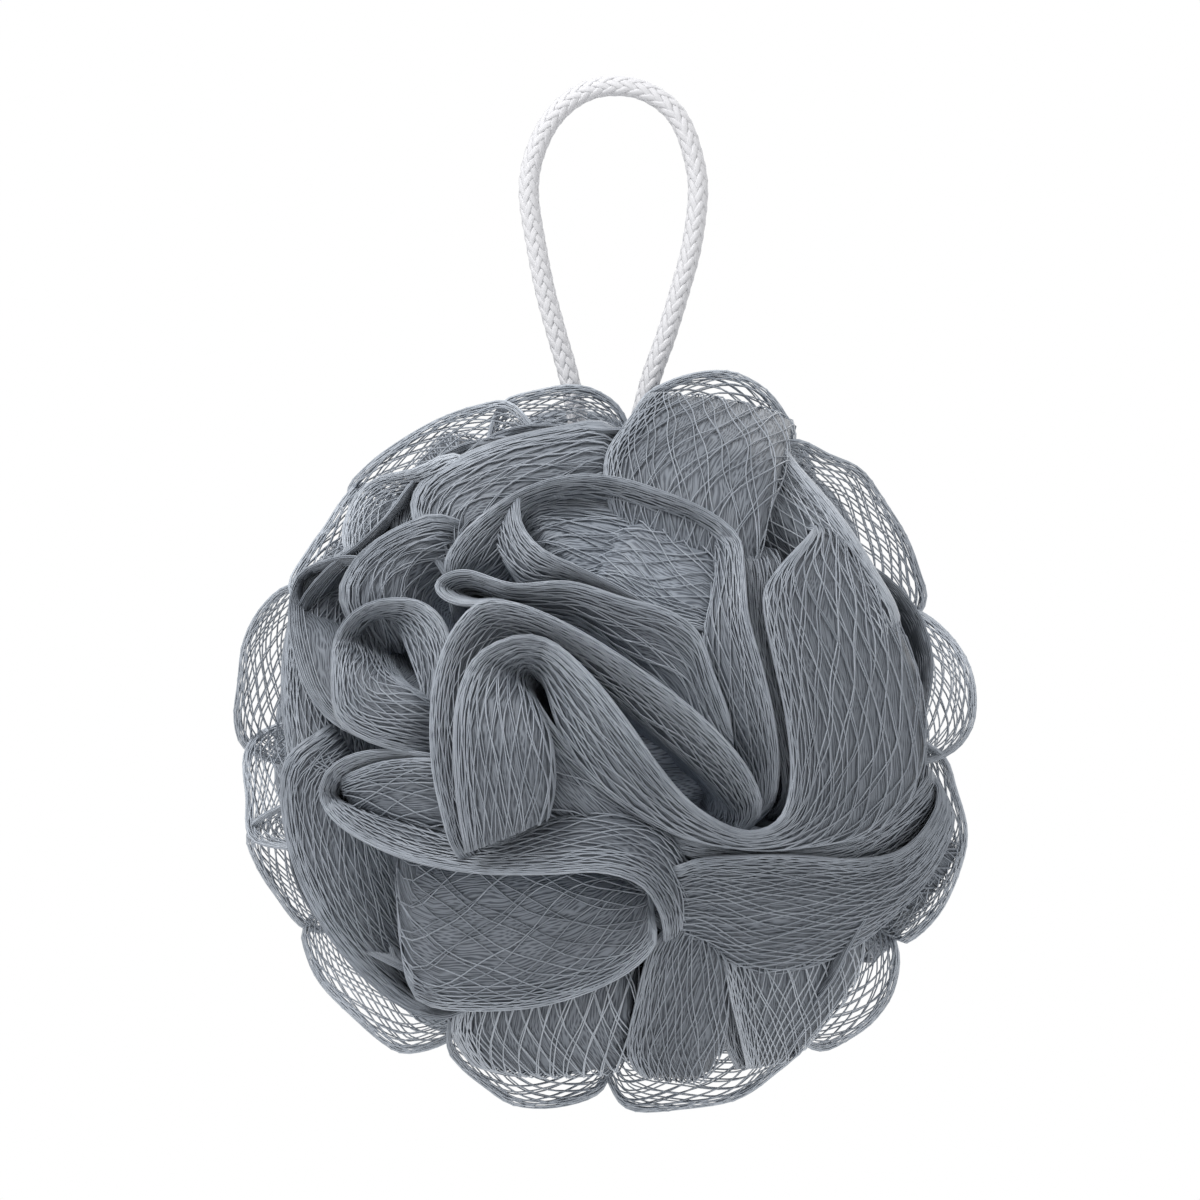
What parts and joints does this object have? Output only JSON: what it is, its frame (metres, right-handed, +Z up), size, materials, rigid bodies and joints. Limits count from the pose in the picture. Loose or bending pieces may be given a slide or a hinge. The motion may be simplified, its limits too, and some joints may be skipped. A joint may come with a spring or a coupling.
{
  "type": "mesh bath pouf",
  "caption": "Ball of gathered net ribbons tied at its middle, with a loop of cord to hang it by.",
  "frame": {"origin": "inside of the top of the cord's loop, where a hook carries it", "axes": "+Z up along the hanging cord, -Y towards the side seen in the picture, +X to the right of that side"},
  "size_m": [0.1404, 0.1406, 0.1954],
  "materials": {
    "net_sleeve": "soft satin, extruded polyethylene net",
    "waist_twine": "matt white twine",
    "hanging_cord": "white plaited polypropylene cord"
  },
  "bodies": {
    "root": {"net_sleeve": "net_sleeve", "waist_twine": "waist_twine", "hanging_cord": "hanging_cord"}
  },
  "joints": []
}
